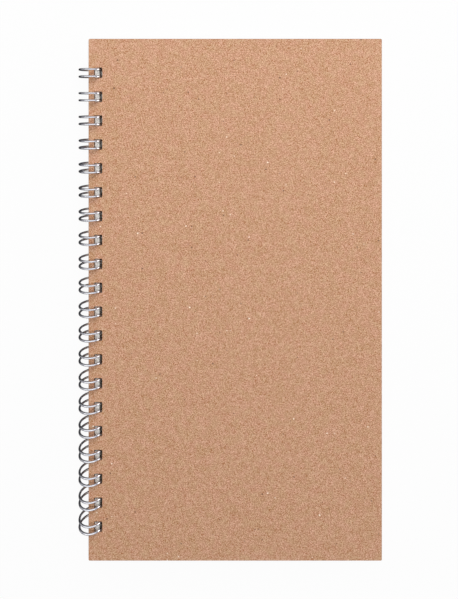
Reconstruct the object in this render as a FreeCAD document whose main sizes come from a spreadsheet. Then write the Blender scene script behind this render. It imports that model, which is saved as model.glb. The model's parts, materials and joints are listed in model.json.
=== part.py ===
import FreeCAD, Part
import math
import os
import Sketcher

# A wire-bound sketchbook: a front and a back cover board, drawing leaves between them, and a
# twin-loop binding wire, in sections end to end, through punched holes along the spine edge.
#
# Frame: the book lies closed on a table.  +Y runs up along the spine, +X runs from the spine to
# the fore-edge and +Z is up.  The origin is under the middle of the book, on the table, which
# the wire's tips and the back cover's fore-edge touch.
# The wire's loops share one axis, parallel to Y, and every sheet turns about it.  A sheet is
# drawn from its own lower spine corner, and its Placement puts it beside that axis, tilted down
# a little to the fore-edge because the wire holds the spine side off the table.

# Driving dimensions, in millimetres, and angles in degrees round the loop axis from +X.
DIMENSIONS = (
    ("cover_width", 104.0),
    ("cover_length", 185.0),
    ("cover_thickness", 0.9),
    ("cover_overhang", 0.42),
    ("back_cover_shift", 1.04),
    ("leaf_count", 32),
    ("leaf_thickness", 0.1),
    ("leaf_inset", 0.7),
    ("leaf_spine_inset", 1.58),
    ("sheet_gap", 0.01),
    ("loop_count", 20),
    ("loop_pitch", round(25.4 / 3, 4)),
    ("loop_outside", 9.2),
    ("wire_sections", 5),
    ("wire_diameter", 0.75),
    ("wire_spacing", 2.54),
    ("root_bend", 1.0),
    ("root_angle", 250.0),
    ("tip_angle", -70.0),
    ("hole_setback", 2.05),
    ("hole_width", 2.76),
    ("hole_length", 3.6),
)

# Distances that follow from the driving dimensions, as expressions.
PATTERN_LENGTH = "(Sizes.loop_count - 1) * Sizes.loop_pitch"
FRONT_EDGE = "(-Sizes.cover_overhang)"
# the back cover lies further to the fore-edge, so the covers pass each other as the book opens
BACK_EDGE = "(Sizes.back_cover_shift - Sizes.cover_overhang)"
LEAF_EDGE = "(Sizes.leaf_spine_inset - Sizes.cover_overhang)"
LEAF_WIDTH = "Sizes.cover_width - Sizes.leaf_spine_inset - Sizes.leaf_inset"
LEAF_LENGTH = "Sizes.cover_length - 2 * Sizes.leaf_inset"
LEAF_PITCH = "(Sizes.leaf_thickness + Sizes.sheet_gap)"
HALF_LEAVES = f"((Sizes.leaf_count * {LEAF_PITCH} + Sizes.sheet_gap) / 2)"
HALF_BLOCK = f"({HALF_LEAVES} + Sizes.cover_thickness)"
LOOP_RADIUS = "((Sizes.loop_outside - Sizes.wire_diameter) / 2)"
# the lowest part of the wire is the outside of the U at each loop's tip
AXIS_HEIGHT = (
    f"(Sizes.wire_diameter / 2 - {LOOP_RADIUS} * sin(Sizes.tip_angle * 1 deg)"
    " + Sizes.wire_spacing / 2 * cos(Sizes.tip_angle * 1 deg))"
)
# the back cover's fore-edge from the loop axis, and the tilt that lays that edge on the table
REACH = f"(Sizes.cover_width + {BACK_EDGE})"
REST_TILT = (
    f"(asin({AXIS_HEIGHT} / sqrt({REACH}^2 + {HALF_BLOCK}^2)) - atan({HALF_BLOCK} / {REACH}))"
)
AXIS_X = (
    f"((Sizes.loop_outside / 2 - {REACH} * cos({REST_TILT})"
    f" + {HALF_LEAVES} * sin({REST_TILT})) / 2)"
)


def add_sizes(doc):
    """Puts the driving dimensions in a spreadsheet, one alias for each."""
    sizes = doc.addObject("Spreadsheet::Sheet", "Sizes")
    for row, (alias, value) in enumerate(DIMENSIONS, start=1):
        sizes.set(f"A{row}", alias)
        sizes.set(f"B{row}", str(value))
        sizes.setAlias(f"B{row}", alias)
    doc.recompute()
    return sizes


def origin_feature(body, role):
    """One of a body's own origin planes or axes."""
    for feature in body.Origin.OriginFeatures:
        if feature.Role == role:
            return feature
    raise RuntimeError(f"{body.Label} has no {role}")


def add_rectangle(body, name, width, length, left=None, bottom=None):
    """A sketch of one rectangle on the body's XY plane, sized and placed by expressions."""
    sketch = body.newObject("Sketcher::SketchObject", name)
    sketch.AttachmentSupport = (origin_feature(body, "XY_Plane"), [""])
    sketch.MapMode = "FlatFace"
    corners = [FreeCAD.Vector(x, y, 0) for x, y in ((1, 1), (2, 1), (2, 2), (1, 2))]
    for start, end in zip(corners, corners[1:] + corners[:1]):
        sketch.addGeometry(Part.LineSegment(start, end), False)
    for side in range(4):
        sketch.addConstraint(Sketcher.Constraint("Coincident", side, 2, (side + 1) % 4, 1))
        level = "Horizontal" if side % 2 == 0 else "Vertical"
        sketch.addConstraint(Sketcher.Constraint(level, side))
    measures = [
        ("width", "DistanceX", (0, 1, 0, 2), width),
        ("length", "DistanceY", (1, 1, 1, 2), length),
    ]
    if left is None:
        sketch.addConstraint(Sketcher.Constraint("Coincident", 0, 1, -1, 1))
    else:
        measures.append(("left", "DistanceX", (-1, 1, 0, 1), left))
        measures.append(("bottom", "DistanceY", (-1, 1, 0, 1), bottom))
    for label, kind, points, expression in measures:
        index = sketch.addConstraint(Sketcher.Constraint(kind, *points, 1.0))
        sketch.renameConstraint(index, label)
        sketch.setExpression(f"Constraints.{label}", expression)
    return sketch


def place_by_axis(body, edge, foot, height):
    """Puts a body's corner beside the loop axis, all tilted together by the book's rest tilt.

    edge, foot and height are the corner's x, y and z from the middle of the axis, as
    expressions, before the tilt.
    """
    downwards = FreeCAD.Rotation(FreeCAD.Vector(0, 1, 0), 1)
    body.Placement = FreeCAD.Placement(FreeCAD.Vector(), downwards)
    body.setExpression("Placement.Rotation.Angle", REST_TILT)
    turned_x = f"({edge}) * cos({REST_TILT}) + ({height}) * sin({REST_TILT})"
    turned_z = f"({height}) * cos({REST_TILT}) - ({edge}) * sin({REST_TILT})"
    body.setExpression("Placement.Base.x", f"{AXIS_X} + {turned_x}")
    body.setExpression("Placement.Base.y", foot)
    body.setExpression("Placement.Base.z", f"{AXIS_HEIGHT} + {turned_z}")


def add_sheet(doc, label, size, thickness, edge, height):
    """A rectangular sheet with a row of punched holes beside its spine edge.

    edge and height place the sheet's spine edge and underside from the loop axis.
    """
    width, length = size
    body = doc.addObject("PartDesign::Body", label)
    outline = add_rectangle(body, f"{label}_outline", width, length)
    pad = body.newObject("PartDesign::Pad", f"{label}_pad")
    pad.Profile = outline
    pad.setExpression("Length", thickness)

    # every sheet's holes stand on the same loops, whatever its length
    first_hole = f"({length} - {PATTERN_LENGTH} - Sizes.hole_length) / 2"
    punch = add_rectangle(
        body, f"{label}_punch", "Sizes.hole_width", "Sizes.hole_length",
        left="Sizes.hole_setback", bottom=first_hole,
    )
    hole = body.newObject("PartDesign::Pocket", f"{label}_hole")
    hole.Profile = punch
    hole.Type = "ThroughAll"
    hole.Reversed = True
    doc.recompute()

    row = body.newObject("PartDesign::LinearPattern", f"{label}_hole_row")
    row.Originals = [hole]
    row.Direction = (origin_feature(body, "Y_Axis"), [""])
    row.setExpression("Length", PATTERN_LENGTH)
    row.setExpression("Occurrences", "Sizes.loop_count")
    body.Tip = row

    place_by_axis(body, edge, f"-({length}) / 2", height)
    return body


def add_cover(doc, label, edge, height):
    """A cover board, which reaches past the leaves."""
    size = ("Sizes.cover_width", "Sizes.cover_length")
    return add_sheet(doc, label, size, "Sizes.cover_thickness", edge, height)


def add_leaf(doc, number):
    """One drawing leaf, counted down from the front cover."""
    height = f"{HALF_LEAVES} - {number} * {LEAF_PITCH}"
    size = (LEAF_WIDTH, LEAF_LENGTH)
    label = f"leaf_{number:02d}"
    return add_sheet(doc, label, size, "Sizes.leaf_thickness", LEAF_EDGE, height)


def ring_frame(radius, degrees):
    """A point of the loop circle and the direction of growing angle there."""
    angle = math.radians(degrees)
    point = FreeCAD.Vector(radius * math.cos(angle), 0, radius * math.sin(angle))
    along = FreeCAD.Vector(-math.sin(angle), 0, math.cos(angle))
    return point, along


def finger_path(sizes):
    """The wire's middle line for one twin loop, from one spine bit to the next.

    The wire comes along the spine, bends into the loop, goes round to the tip, turns back in a
    U and bends out again on the other side.  The loop's open side is under the back cover.
    """
    radius = (sizes.loop_outside - sizes.wire_diameter) / 2
    half_spacing = sizes.wire_spacing / 2
    bend = sizes.root_bend
    spine = FreeCAD.Vector(0, 1, 0)
    root, root_along = ring_frame(radius, sizes.root_angle)
    tip, tip_along = ring_frame(radius, sizes.tip_angle)
    top, _ = ring_frame(radius, (sizes.root_angle + sizes.tip_angle) / 2)

    def half(side):
        """Half a finger: side is -1 on the way in and +1 on the way out."""
        offset = spine * (side * half_spacing)
        bend_centre = root + offset + spine * (side * bend)
        bend_start = bend_centre + root_along * bend
        bend_middle = bend_centre + (root_along - spine * side) * (bend / math.sqrt(2))
        spine_bit_end = root + root_along * bend + spine * (side * sizes.loop_pitch / 2)
        edges = [
            Part.LineSegment(spine_bit_end, bend_start),
            Part.Arc(bend_start, bend_middle, root + offset),
            Part.Arc(root + offset, top + offset, tip + offset),
        ]
        return [edge.toShape() for edge in edges]

    across = spine * half_spacing
    tip_turn = Part.Arc(tip - across, tip - tip_along * half_spacing, tip + across)
    return Part.Wire(half(-1) + [tip_turn.toShape()] + half(1)[::-1])


def wire_finger(sizes):
    """One twin loop of round wire about the loop axis, as a solid."""
    path = finger_path(sizes)
    start = path.OrderedVertexes[0].Point
    section = Part.Circle(start, FreeCAD.Vector(0, 1, 0), sizes.wire_diameter / 2)
    finger = path.makePipe(Part.Face(Part.Wire([section.toShape()])))
    swept = math.pi * (sizes.wire_diameter / 2) ** 2 * path.Length
    print(f"one loop's volume {finger.Volume:.3f} mm3, section times length {swept:.3f} mm3")
    return finger


def add_wire_section(doc, sizes, finger, number):
    """One section of the binding wire: an equal share of the twin loops, counted up the spine."""
    loops = int(sizes.loop_count) // int(sizes.wire_sections)
    first = -(loops - 1) * sizes.loop_pitch / 2
    fingers = []
    for step in range(loops):
        fingers.append(finger.translated(FreeCAD.Vector(0, first + step * sizes.loop_pitch, 0)))
    wire = doc.addObject("Part::Feature", f"twin_loop_wire_{number}")
    wire.Shape = fingers[0].multiFuse(fingers[1:])
    section_length = "Sizes.loop_count / Sizes.wire_sections * Sizes.loop_pitch"
    wire.setExpression("Placement.Base.x", AXIS_X)
    wire.setExpression(
        "Placement.Base.y", f"({number} - (Sizes.wire_sections + 1) / 2) * {section_length}"
    )
    wire.setExpression("Placement.Base.z", AXIS_HEIGHT)
    return wire


def check_document(doc, pieces):
    """Stops the build if any feature failed or any piece has no valid solid."""
    for item in doc.Objects:
        if "Invalid" in item.State or "Error" in item.State:
            raise RuntimeError(f"{item.Label} failed: {item.State}")
    for piece in pieces:
        if piece.Shape.isNull() or not piece.Shape.isValid():
            raise RuntimeError(f"{piece.Label} has no valid shape")
        if len(piece.Shape.Solids) != 1:
            raise RuntimeError(f"{piece.Label} is not one solid")


def main():
    doc = FreeCAD.newDocument("sketchbook")
    sizes = add_sizes(doc)
    pieces = [
        add_cover(doc, "front_cover", FRONT_EDGE, HALF_LEAVES),
        add_cover(doc, "back_cover", BACK_EDGE, f"-{HALF_BLOCK}"),
    ]
    finger = wire_finger(sizes)
    for number in range(1, int(sizes.wire_sections) + 1):
        pieces.append(add_wire_section(doc, sizes, finger, number))
    for number in range(1, int(sizes.leaf_count) + 1):
        pieces.append(add_leaf(doc, number))
    doc.recompute()
    check_document(doc, pieces)

    os.makedirs("parts", exist_ok=True)
    for piece in pieces:
        piece.Shape.exportStep(f"parts/{piece.Label}.step")
    print(f"{len(pieces)} pieces written")


main()
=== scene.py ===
import json
import math
import random

import bmesh
import bpy
from mathutils import Matrix, Vector


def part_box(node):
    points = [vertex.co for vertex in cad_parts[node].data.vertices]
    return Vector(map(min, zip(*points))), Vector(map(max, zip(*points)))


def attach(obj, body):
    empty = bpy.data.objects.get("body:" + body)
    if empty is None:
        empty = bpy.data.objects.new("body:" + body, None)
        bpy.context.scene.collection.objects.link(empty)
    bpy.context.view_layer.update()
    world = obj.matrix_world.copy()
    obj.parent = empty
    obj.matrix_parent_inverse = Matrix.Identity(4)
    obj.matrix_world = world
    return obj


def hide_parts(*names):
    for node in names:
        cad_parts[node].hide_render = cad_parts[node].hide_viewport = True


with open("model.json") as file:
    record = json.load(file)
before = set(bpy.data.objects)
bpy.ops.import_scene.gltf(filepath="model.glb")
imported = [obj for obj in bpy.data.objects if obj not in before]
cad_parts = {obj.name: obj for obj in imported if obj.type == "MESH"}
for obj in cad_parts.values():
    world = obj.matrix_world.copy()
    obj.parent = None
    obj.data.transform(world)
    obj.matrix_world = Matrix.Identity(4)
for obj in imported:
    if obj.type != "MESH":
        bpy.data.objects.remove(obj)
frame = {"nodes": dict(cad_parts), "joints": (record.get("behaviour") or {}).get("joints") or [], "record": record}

# A closed wire-bound sketchbook seen from above: kraft board covers, drawing leaves and a
# twin-loop wire.  Lengths are in metres.  "Book" coordinates are measured from the middle of the
# loops' axis, with the sheets level: x to the fore-edge, y up the spine, z out of the cover.

MM = 0.001

LOOP_COUNT = 20
LOOP_PITCH = 25.4 / 3 * MM
WIRE_RADIUS = 0.375 * MM
WIRE_SPACING = 2.54 * MM
ROOT_BEND = 1.0 * MM
ROOT_ANGLE = 250
TIP_ANGLE = -70
WIRE_SIDES = 16
# the wire's cut ends: how far each ring stands out of the end, and its share of the radius
ROUNDED_END = ((0.05 * MM, 0.92), (0.10 * MM, 0.72))

COVER_CORNER = 0.45 * MM
COVER_ROUNDING = 0.09 * MM
LEAF_CORNER = 0.4 * MM
LEAF_ROUNDING = 0.02 * MM
HOLE_CORNER = 0.35 * MM
# how far a leaf may lie out of place across and along the spine
LEAF_SLIP = (0.05 * MM, 0.04 * MM)

# the camera's height over the cover, the length there that fills the picture from top to bottom,
# the lens shift as a share of that length, and the view's offset from the cover's middle
VIEW_HEIGHT = 0.172
VIEW_LENGTH = 0.2123
VIEW_SHIFT = -0.334
VIEW_OFFSET = Vector((-2.2 * MM, 0.1 * MM, 0))
SENSOR = 36

# the floor's own light and its colour, the backdrop, then the grey room: as the wire mirrors it
# on the left, on the right and from below, and as it fills the shadows
FLOOR_GLOW = 0.945
FLOOR_GREY = (0.04, 0.04, 0.04, 1)
BACKDROP = (0.98, 0.98, 0.98, 1)
ROOM_LEFT = (0.43, 0.43, 0.455, 1)
ROOM_RIGHT = (0.48, 0.475, 0.53, 1)
ROOM_BELOW = (0.06, 0.06, 0.065, 1)
ROOM_FILL = (0.12, 0.12, 0.13, 1)
FLOOR_RADIUS = 6.0
FLOOR_DROP = 0.02 * MM

# linear colours; those in pairs are the two ends of one mixture
KRAFT_DARK = (0.348, 0.112, 0.022, 1)
KRAFT_LIGHT = (0.772, 0.514, 0.355, 1)
KRAFT_TINTS = ((1.03, 1.0, 1.05, 1), (0.97, 1.0, 0.95, 1))
KRAFT_FIBRE = (0.70, 0.47, 0.33, 1)
KRAFT_DARK_SPECK = (0.16, 0.07, 0.04, 1)
KRAFT_PALE_SPECK = (0.95, 0.84, 0.70, 1)
KRAFT_EDGE = ((0.22, 0.125, 0.085, 1), (0.42, 0.265, 0.185, 1))
# the holes' walls: the cut edge's browns darkened, painted shade as deep in a punched hole
KRAFT_HOLE_PAINTED_SHADE = ((0.14, 0.08, 0.05, 1), (0.28, 0.17, 0.12, 1))
PAPER_FACE = ((0.92, 0.895, 0.845, 1), (0.955, 0.935, 0.89, 1))
PAPER_FIBRE = (0.95, 0.95, 0.94, 1)
PAPER_EDGE = ((0.74, 0.725, 0.68, 1), (0.93, 0.92, 0.89, 1))
# the leaves' holes' walls: the edge's tones darkened, painted shade as deep in the stacked punched holes
PAPER_HOLE_PAINTED_SHADE = ((0.27, 0.24, 0.19, 1), (0.48, 0.44, 0.37, 1))
PLATING = ((0.74, 0.74, 0.77, 1), (0.86, 0.86, 0.88, 1))

# a turn, in radians, that takes a noise's lattice out of the sheets' planes
LATTICE_TURN = (0.6, 0.9, 0.35)

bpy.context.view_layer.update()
loop_axis = Vector(frame["joints"][0]["pos_m"])
mounts = {mount["name"]: mount for mount in frame["record"]["mounts"]}
fore_edge = mounts["fore_edge_rest"]["axis"]
rest_tilt = math.atan2(-fore_edge[2], fore_edge[0])
book_to_world = Matrix.Translation(loop_axis) @ Matrix.Rotation(rest_tilt, 4, "Y")
leaf_names = sorted(name for name in frame["nodes"] if name.startswith("leaf_"))
wire_names = sorted(name for name in frame["nodes"] if name.startswith("twin_loop_wire_"))


# ---------------------------------------------------------------- materials

def add_node(tree, kind, inputs=None, **settings):
    """A shader node with its settings and inputs; an input is a value or another socket."""
    made = tree.nodes.new(kind)
    for name, value in settings.items():
        setattr(made, name, value)
    for name, value in (inputs or {}).items():
        if isinstance(value, bpy.types.NodeSocket):
            tree.links.new(value, made.inputs[name])
        else:
            made.inputs[name].default_value = value
    return made


def new_material(name):
    """An empty Principled material: its tree, its shader and the piece's own coordinates."""
    material = bpy.data.materials.new(name)
    material.use_nodes = True
    tree = material.node_tree
    shader = tree.nodes["Principled BSDF"]
    place = tree.nodes.new("ShaderNodeTexCoord").outputs["Object"]
    return material, tree, shader, place


def stretch(tree, place, scale, turn=0.0):
    """Coordinates turned about z and scaled by three factors."""
    inputs = {"Vector": place, "Rotation": (0, 0, turn)}
    turned = add_node(tree, "ShaderNodeMapping", inputs, vector_type="POINT")
    inputs = {"Vector": turned.outputs[0], "Scale": scale}
    return add_node(tree, "ShaderNodeMapping", inputs, vector_type="POINT").outputs[0]


def askew(tree, place):
    """Coordinates turned out of the sheets' planes, where a noise's lattice would show as bands."""
    inputs = {"Vector": place, "Rotation": LATTICE_TURN}
    return add_node(tree, "ShaderNodeMapping", inputs, vector_type="POINT").outputs[0]


def noise(tree, place, scale, detail=2.0, roughness=0.5):
    """A grey noise between about 0.25 and 0.75; its scale is in cells to the metre."""
    inputs = {"Vector": place, "Scale": scale, "Detail": detail, "Roughness": roughness}
    return add_node(tree, "ShaderNodeTexNoise", inputs).outputs["Fac"]


def remap(tree, value, low, high, to_low=0.0, to_high=1.0):
    """A value's range low to high, stretched and clamped to another range."""
    inputs = {"Value": value, "From Min": low, "From Max": high}
    inputs.update({"To Min": to_low, "To Max": to_high})
    return add_node(tree, "ShaderNodeMapRange", inputs).outputs[0]


def combine(tree, operation, first, second):
    """One arithmetic step."""
    return add_node(tree, "ShaderNodeMath", {0: first, 1: second}, operation=operation).outputs[0]


def mix_colours(tree, share, first, second, blend="MIX"):
    """Two colours mixed by share."""
    made = add_node(tree, "ShaderNodeMix", data_type="RGBA", blend_type=blend)
    # this node's colour sockets share their names with others, so they go by number
    for index, value in ((0, share), (6, first), (7, second)):
        if isinstance(value, bpy.types.NodeSocket):
            tree.links.new(value, made.inputs[index])
        else:
            made.inputs[index].default_value = value
    return made.outputs[2]


def specks(tree, place, scale, rarity, size):
    """Scattered round specks: 1 inside a speck and 0 elsewhere."""
    inputs = {"Vector": place, "Scale": scale, "Randomness": 1.0}
    cells = add_node(tree, "ShaderNodeTexVoronoi", inputs, voronoi_dimensions="3D")
    tone = add_node(tree, "ShaderNodeSeparateColor", {0: cells.outputs["Color"]})
    chosen = remap(tree, tone.outputs[0], rarity - 0.02, rarity)
    reach = combine(tree, "MULTIPLY", tone.outputs[1], size)
    inside = combine(tree, "SUBTRACT", reach, cells.outputs["Distance"])
    spot = remap(tree, inside, 0.0, size * 0.35)
    return combine(tree, "MULTIPLY", chosen, spot)


def fibres(tree, place, turns):
    """Short fine strands that lie in several directions."""
    total = None
    for turn in turns:
        along = stretch(tree, place, (260.0, 3600.0, 900.0), turn)
        strands = remap(tree, noise(tree, along, 1.0, 1.0), 0.62, 0.74)
        total = strands if total is None else combine(tree, "MAXIMUM", total, strands)
    return total


def bump(tree, height, strength, distance):
    """A bump normal from a height."""
    inputs = {"Height": height, "Strength": strength, "Distance": distance}
    return add_node(tree, "ShaderNodeBump", inputs).outputs[0]


def kraft_board():
    """Uncoated brown board: fine grain, soft blotches, fibres, dark and pale specks."""
    material, tree, shader, place = new_material("kraft_board")
    turned = askew(tree, place)
    grain = noise(tree, turned, 3400.0, 1.5, 0.6)
    share = remap(tree, grain, 0.34, 0.66)
    colour = mix_colours(tree, share, KRAFT_DARK, KRAFT_LIGHT)
    blotch = remap(tree, noise(tree, turned, 330.0, 2.0), 0.35, 0.65)
    tint = mix_colours(tree, blotch, *KRAFT_TINTS)
    colour = mix_colours(tree, 1.0, colour, tint, "MULTIPLY")

    strands = fibres(tree, place, (0.3, 1.1, 2.0, 2.7))
    veil = combine(tree, "MULTIPLY", strands, 0.18)
    colour = mix_colours(tree, veil, colour, KRAFT_FIBRE)
    dark = combine(tree, "MULTIPLY", specks(tree, place, 800.0, 0.95, 0.34), 0.85)
    colour = mix_colours(tree, dark, colour, KRAFT_DARK_SPECK)
    pale = combine(tree, "MULTIPLY", specks(tree, place, 760.0, 0.985, 0.30), 0.95)
    colour = mix_colours(tree, pale, colour, KRAFT_PALE_SPECK)

    tree.links.new(colour, shader.inputs["Base Color"])
    rough = remap(tree, grain, 0.3, 0.7, 0.82, 0.95)
    tree.links.new(rough, shader.inputs["Roughness"])
    shader.inputs["Specular IOR Level"].default_value = 0.25
    height = combine(tree, "ADD", grain, combine(tree, "MULTIPLY", strands, 0.35))
    tree.links.new(bump(tree, height, 0.5, 0.03 * MM), shader.inputs["Normal"])
    return material


def kraft_edge(name, tones):
    """The board's cut edge: pressed layers between a dark and a light brown; the holes' walls get darker browns,
    which are painted shade.
    """
    material, tree, shader, place = new_material(name)
    layers = noise(tree, stretch(tree, place, (500.0, 500.0, 9000.0)), 1.0, 3.0, 0.6)
    crumbs = noise(tree, place, 3200.0, 2.0, 0.6)
    tone = combine(tree, "MULTIPLY", combine(tree, "ADD", layers, crumbs), 0.5)
    share = remap(tree, tone, 0.35, 0.65)
    colour = mix_colours(tree, share, *tones)
    tree.links.new(colour, shader.inputs["Base Color"])
    shader.inputs["Roughness"].default_value = 0.93
    shader.inputs["Specular IOR Level"].default_value = 0.15
    tree.links.new(bump(tree, tone, 0.8, 0.05 * MM), shader.inputs["Normal"])
    return material


def drawing_paper():
    """Off-white drawing paper with a fine tooth."""
    material, tree, shader, place = new_material("drawing_paper")
    turned = askew(tree, place)
    cloud = remap(tree, noise(tree, turned, 220.0, 3.0), 0.3, 0.7)
    colour = mix_colours(tree, cloud, *PAPER_FACE)
    strands = combine(tree, "MULTIPLY", fibres(tree, place, (0.7, 1.9)), 0.12)
    colour = mix_colours(tree, strands, colour, PAPER_FIBRE)
    tree.links.new(colour, shader.inputs["Base Color"])
    tooth = noise(tree, turned, 2600.0, 3.0, 0.6)
    tree.links.new(remap(tree, tooth, 0.3, 0.7, 0.78, 0.92), shader.inputs["Roughness"])
    shader.inputs["Specular IOR Level"].default_value = 0.3
    tree.links.new(bump(tree, tooth, 0.35, 0.02 * MM), shader.inputs["Normal"])
    return material


def paper_edge(name, tones):
    """The cut edge of a leaf, whose tone changes from leaf to leaf; the holes' walls get darker tones, which are
    painted shade.
    """
    material, tree, shader, place = new_material(name)
    leaf_tone = noise(tree, stretch(tree, place, (25.0, 25.0, 9000.0)), 1.0, 1.0)
    dust = noise(tree, place, 2400.0, 2.0, 0.6)
    share = remap(tree, combine(tree, "ADD", leaf_tone, dust), 0.75, 1.25)
    colour = mix_colours(tree, share, *tones)
    tree.links.new(colour, shader.inputs["Base Color"])
    shader.inputs["Roughness"].default_value = 0.9
    shader.inputs["Specular IOR Level"].default_value = 0.2
    tree.links.new(bump(tree, dust, 0.4, 0.03 * MM), shader.inputs["Normal"])
    return material


def plated_wire():
    """Bright plated steel wire with faint drawing marks."""
    material, tree, shader, place = new_material("binding_wire")
    smears = noise(tree, place, 900.0, 3.0, 0.6)
    marks = noise(tree, place, 6000.0, 2.0, 0.5)
    tone = remap(tree, smears, 0.3, 0.7)
    colour = mix_colours(tree, tone, *PLATING)
    tree.links.new(colour, shader.inputs["Base Color"])
    shader.inputs["Metallic"].default_value = 1.0
    rough = combine(tree, "ADD", remap(tree, smears, 0.3, 0.7, 0.08, 0.16),
                    remap(tree, marks, 0.3, 0.7, 0.0, 0.06))
    tree.links.new(rough, shader.inputs["Roughness"])
    tree.links.new(bump(tree, marks, 0.12, 0.01 * MM), shader.inputs["Normal"])
    return material


def floor_glow():
    """A white light table, on which the book throws only a faint shadow."""
    material = bpy.data.materials.new("studio_floor")
    material.use_nodes = True
    shader = material.node_tree.nodes["Principled BSDF"]
    shader.inputs["Base Color"].default_value = FLOOR_GREY
    shader.inputs["Roughness"].default_value = 1.0
    shader.inputs["Specular IOR Level"].default_value = 0.0
    shader.inputs["Emission Color"].default_value = (1, 1, 1, 1)
    shader.inputs["Emission Strength"].default_value = FLOOR_GLOW
    return material


# ---------------------------------------------------------------- meshes

def new_piece(name, mesh_builder, materials):
    """An object made from a bmesh, linked into the scene."""
    mesh = bpy.data.meshes.new(name)
    mesh_builder.to_mesh(mesh)
    mesh_builder.free()
    for material in materials:
        mesh.materials.append(material)
    piece = bpy.data.objects.new(name, mesh)
    bpy.context.scene.collection.objects.link(piece)
    return piece


def rounded_rectangle(low, high, radius, steps=6):
    """The points round a rectangle with rounded corners, counter-clockwise."""
    middles = (
        (high[0] - radius, low[1] + radius, -90),
        (high[0] - radius, high[1] - radius, 0),
        (low[0] + radius, high[1] - radius, 90),
        (low[0] + radius, low[1] + radius, 180),
    )
    points = []
    for x, y, start in middles:
        for step in range(steps + 1):
            angle = math.radians(start + 90 * step / steps)
            points.append((x + radius * math.cos(angle), y + radius * math.sin(angle)))
    return points


def edge_profile(thickness, rounding, steps=3):
    """Inset and height pairs down a sheet's rounded edge, from its top face to its bottom."""
    profile = []
    for step in range(steps + 1):
        angle = math.radians(90 * step / steps)
        inset = rounding * (1 - math.sin(angle))
        profile.append((inset, thickness - rounding * (1 - math.cos(angle))))
    return profile + [(inset, thickness - height) for inset, height in reversed(profile)]


def book_corners(node):
    """A CAD sheet's corner points in book coordinates."""
    to_book = book_to_world.inverted()
    return [to_book @ vertex.co for vertex in frame["nodes"][node].data.vertices]


def sheet_outline(node):
    """A CAD sheet's lowest and highest corners in book coordinates."""
    corners = book_corners(node)
    low = Vector([min(corner[axis] for corner in corners) for axis in range(3)])
    high = Vector([max(corner[axis] for corner in corners) for axis in range(3)])
    return low, high


def sheet_holes(node):
    """The lower left and upper right corners of a CAD sheet's punched holes."""
    low, high = sheet_outline(node)
    rim = 1 * MM
    inner = [c for c in book_corners(node) if low.x + rim < c.x < high.x - rim]
    left = min(corner.x for corner in inner)
    right = max(corner.x for corner in inner)
    levels = sorted({round(corner.y, 6) for corner in inner})
    return [((left, bottom), (right, top)) for bottom, top in zip(levels[::2], levels[1::2])]


def add_rings(builder, rings, material_index):
    """Closed rings of points joined by side faces; returns the first and last ring's edges."""
    count = len(rings[0])
    loops = [[builder.verts.new(point) for point in ring] for ring in rings]
    for upper, lower in zip(loops, loops[1:]):
        for index in range(count):
            after = (index + 1) % count
            face = builder.faces.new((upper[index], upper[after], lower[after], lower[index]))
            face.smooth = True
            face.material_index = material_index
    ends = []
    for loop in (loops[0], loops[-1]):
        pairs = zip(loop, loop[1:] + loop[:1])
        ends.append([builder.edges.get(pair) for pair in pairs])
    return ends


def make_sheet(name, node, corner, rounding, materials, slip=(0.0, 0.0)):
    """A sheet with rounded corners, soft cut edges and its row of punched holes.

    Its materials are those of its faces, of its outer edge and of the holes' walls; the last is darkened into
    painted shade.
    """
    low, high = sheet_outline(node)
    shift = Vector((slip[0], slip[1], 0))
    profile = edge_profile(high.z - low.z, rounding)
    borders = [(low, high, corner, 1, 1)]
    for hole_low, hole_high in sheet_holes(node):
        # the holes' walls take the third material, coloured with painted shade
        borders.append((hole_low, hole_high, HOLE_CORNER, -1, 2))

    builder = bmesh.new()
    top_edges = []
    bottom_edges = []
    for border_low, border_high, radius, inwards, material_index in borders:
        rings = []
        for inset, height in profile:
            grow = inset * inwards
            outline = rounded_rectangle(
                (border_low[0] + grow, border_low[1] + grow),
                (border_high[0] - grow, border_high[1] - grow),
                radius - grow,
            )
            rings.append([Vector((x, y, low.z + height)) + shift for x, y in outline])
        top, bottom = add_rings(builder, rings, material_index)
        top_edges += top
        bottom_edges += bottom
    for edges, normal in ((top_edges, (0, 0, 1)), (bottom_edges, (0, 0, -1))):
        bmesh.ops.triangle_fill(builder, use_beauty=True, edges=edges, normal=normal)
    bmesh.ops.recalc_face_normals(builder, faces=builder.faces)
    builder.transform(book_to_world)
    return new_piece(name, builder, materials)


def ring_point(radius, degrees):
    """A point of a loop's circle and the direction of growing angle there."""
    angle = math.radians(degrees)
    point = Vector((radius * math.cos(angle), 0, radius * math.sin(angle)))
    return point, Vector((-math.sin(angle), 0, math.cos(angle)))


def arc_points(centre, start_arm, end_arm, degrees, steps):
    """Points of an arc that leaves along start_arm and reaches end_arm after 90 degrees."""
    points = []
    for step in range(steps + 1):
        angle = math.radians(degrees * step / steps)
        points.append(centre + start_arm * math.cos(angle) + end_arm * math.sin(angle))
    return points


def finger_points(middle, radius, root_angle, tip_angle, lean):
    """The wire's middle line through one twin loop, in axis coordinates.

    It bends out of the spine, goes round to the tip, turns back in a U and bends out again.
    """
    spine = Vector((0, 1, 0))
    root, root_along = ring_point(radius, root_angle)
    tip, tip_along = ring_point(radius, tip_angle)
    half = spine * (WIRE_SPACING / 2)
    bend = spine * ROOT_BEND
    out = root_along * ROOT_BEND
    around = 72
    points = arc_points(root - half - bend, out, bend, 90, 8)[:-1]
    angles = [root_angle + (tip_angle - root_angle) * i / around for i in range(around + 1)]
    points += [ring_point(radius, angle)[0] - half for angle in angles]
    points += arc_points(tip, -half, -tip_along * half.length, 180, 14)[1:-1]
    points += [ring_point(radius, angle)[0] + half for angle in reversed(angles)]
    points += arc_points(root + half + bend, -bend, out, 90, 8)[1:]
    for point in points:
        point.y += middle + lean * point.z
    return points


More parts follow.
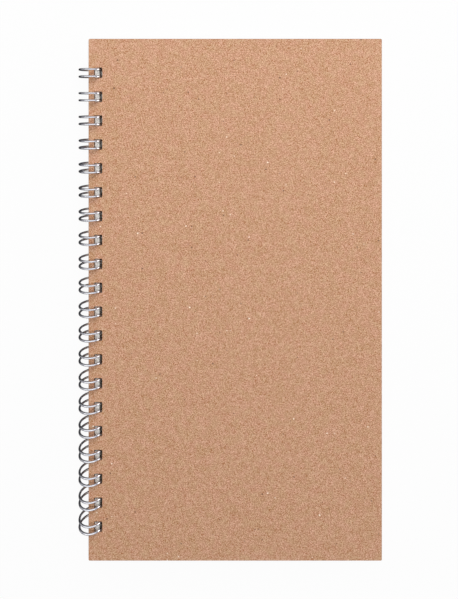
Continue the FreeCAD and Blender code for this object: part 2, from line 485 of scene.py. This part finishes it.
def comb_points():
    """The middle line of the whole wire, with each loop closed a little differently."""
    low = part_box(wire_names[0])[0]
    radius = loop_axis.x - low.x - WIRE_RADIUS
    chance = random.Random(11)
    points = []
    for number in range(LOOP_COUNT):
        middle = (number - (LOOP_COUNT - 1) / 2) * LOOP_PITCH
        points += finger_points(
            middle + chance.uniform(-0.02, 0.02) * MM,
            radius * chance.uniform(0.996, 1.0),
            ROOT_ANGLE,
            TIP_ANGLE + chance.uniform(-0.4, 1.2),
            chance.uniform(-0.006, 0.006),
        )
    stub = Vector((0, LOOP_PITCH / 2 - WIRE_SPACING / 2 - ROOT_BEND, 0))
    return [points[0] - stub] + points + [points[-1] + stub]


def make_wire(material):
    """The binding wire: a round tube along the comb's middle line, with rounded cut ends."""
    points = comb_points()
    builder = bmesh.new()
    rings = []
    across = Vector((1, 0, 0))
    for index, point in enumerate(points):
        before = points[max(index - 1, 0)]
        after = points[min(index + 1, len(points) - 1)]
        heading = (after - before).normalized()
        across = (across - heading * across.dot(heading)).normalized()
        other = heading.cross(across)
        steps = [(0.0, 1.0)]
        if index == 0:
            steps = [(-out, share) for out, share in reversed(ROUNDED_END)] + steps
        if index == len(points) - 1:
            steps += ROUNDED_END
        for ahead, share in steps:
            middle = point + heading * ahead
            ring = []
            for side in range(WIRE_SIDES):
                angle = 2 * math.pi * side / WIRE_SIDES
                arm = across * math.cos(angle) + other * math.sin(angle)
                ring.append(builder.verts.new(middle + arm * (WIRE_RADIUS * share)))
            rings.append(ring)
    for first, second in zip(rings, rings[1:]):
        for side in range(WIRE_SIDES):
            after = (side + 1) % WIRE_SIDES
            face = builder.faces.new((first[side], first[after], second[after], second[side]))
            face.smooth = True
    builder.faces.new(rings[0])
    builder.faces.new(rings[-1])
    bmesh.ops.recalc_face_normals(builder, faces=builder.faces)
    builder.transform(Matrix.Translation(loop_axis))
    return new_piece("binding_wire", builder, [material])


# ---------------------------------------------------------------- assembly

def stand_in(piece, nodes, body):
    """The piece is shown for one or more CAD nodes and moves with their body."""
    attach(piece, body)
    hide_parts(*nodes)


def build_book():
    """Every visible piece of the sketchbook."""
    board = [
        kraft_board(),
        kraft_edge("kraft_edge", KRAFT_EDGE),
        # the holes' walls: the cut edge darkened with painted shade
        kraft_edge("kraft_hole_painted_shade", KRAFT_HOLE_PAINTED_SHADE),
    ]
    for node, body in (("front_cover", "front_cover"), ("back_cover", "binding")):
        piece = make_sheet(f"{node}_board", node, COVER_CORNER, COVER_ROUNDING, board)
        stand_in(piece, [node], body)

    paper = [
        drawing_paper(),
        paper_edge("paper_edge", PAPER_EDGE),
        # the holes' walls: the paper edge darkened with painted shade
        paper_edge("paper_hole_painted_shade", PAPER_HOLE_PAINTED_SHADE),
    ]
    chance = random.Random(5)
    for node in leaf_names:
        slip = [chance.uniform(-most, most) for most in LEAF_SLIP]
        piece = make_sheet(f"{node}_paper", node, LEAF_CORNER, LEAF_ROUNDING, paper, slip)
        stand_in(piece, [node], node)

    stand_in(make_wire(plated_wire()), wire_names, "binding")


def build_floor():
    """A wide white floor under the book."""
    bpy.ops.mesh.primitive_circle_add(vertices=96, radius=FLOOR_RADIUS, fill_type="NGON")
    floor = bpy.context.object
    floor.name = "studio_floor"
    floor.location.z = -FLOOR_DROP
    floor.data.materials.append(floor_glow())
    floor.visible_glossy = False


def add_softbox(name, place, aim, size, power, mirrored=True):
    """A rectangular area light turned to an aim point; mirrored ones show in shiny metal."""
    light = bpy.data.lights.new(name, "AREA")
    light.shape = "RECTANGLE"
    light.size, light.size_y = size
    light.energy = power
    lamp = bpy.data.objects.new(name, light)
    lamp.location = place
    lamp.rotation_mode = "QUATERNION"
    lamp.rotation_quaternion = (Vector(aim) - Vector(place)).to_track_quat("-Z", "Y")
    lamp.visible_glossy = mirrored
    bpy.context.scene.collection.objects.link(lamp)


def build_light():
    """A softbox over the spine, one beyond the head, a strip low on the right, a grey room."""
    add_softbox("over_spine", (-0.06, 0.1, 0.85), (-0.05, 0.1, 0), (0.56, 1.9), 4.85)
    add_softbox("head_side", (0.1, 0.7, 0.48), (0, 0, 0), (0.9, 0.52), 6.7, mirrored=False)
    add_softbox("right_strip", (1.2, 0, 0.36), (0, 0, 0), (1.6, 0.3), 4.5)
    world = bpy.data.worlds.new("studio")
    bpy.context.scene.world = world
    world.use_nodes = True
    tree = world.node_tree
    heading = add_node(tree, "ShaderNodeTexCoord").outputs["Generated"]
    axes = add_node(tree, "ShaderNodeSeparateXYZ", {0: heading})
    share = remap(tree, axes.outputs[0], -0.15, 0.45)
    room = mix_colours(tree, share, ROOM_LEFT, ROOM_RIGHT)
    above = remap(tree, axes.outputs[2], -0.2, 0.1)
    room = mix_colours(tree, above, ROOM_BELOW, room)
    rays = add_node(tree, "ShaderNodeLightPath").outputs
    room = mix_colours(tree, rays["Is Diffuse Ray"], room, ROOM_FILL)
    colour = mix_colours(tree, rays["Is Camera Ray"], room, BACKDROP)
    tree.links.new(colour, tree.nodes["Background"].inputs["Color"])


def build_camera():
    """Square above the cover, towards the head of the spine, with the view shifted down."""
    camera = bpy.data.cameras.new("camera")
    camera.sensor_width = SENSOR
    camera.lens = SENSOR * VIEW_HEIGHT / VIEW_LENGTH
    camera.shift_y = VIEW_SHIFT
    low, high = sheet_outline("front_cover")
    middle = Vector(((low.x + high.x) / 2, (low.y + high.y) / 2, high.z)) + VIEW_OFFSET
    above = Vector((0, -VIEW_SHIFT * VIEW_LENGTH, VIEW_HEIGHT))
    holder = bpy.data.objects.new("camera", camera)
    holder.matrix_world = book_to_world @ Matrix.Translation(middle + above)
    bpy.context.scene.collection.objects.link(holder)
    bpy.context.scene.camera = holder


build_camera()
build_floor()
build_light()
build_book()
bpy.context.scene.view_settings.view_transform = "Standard"
bpy.context.scene.view_settings.look = "None"
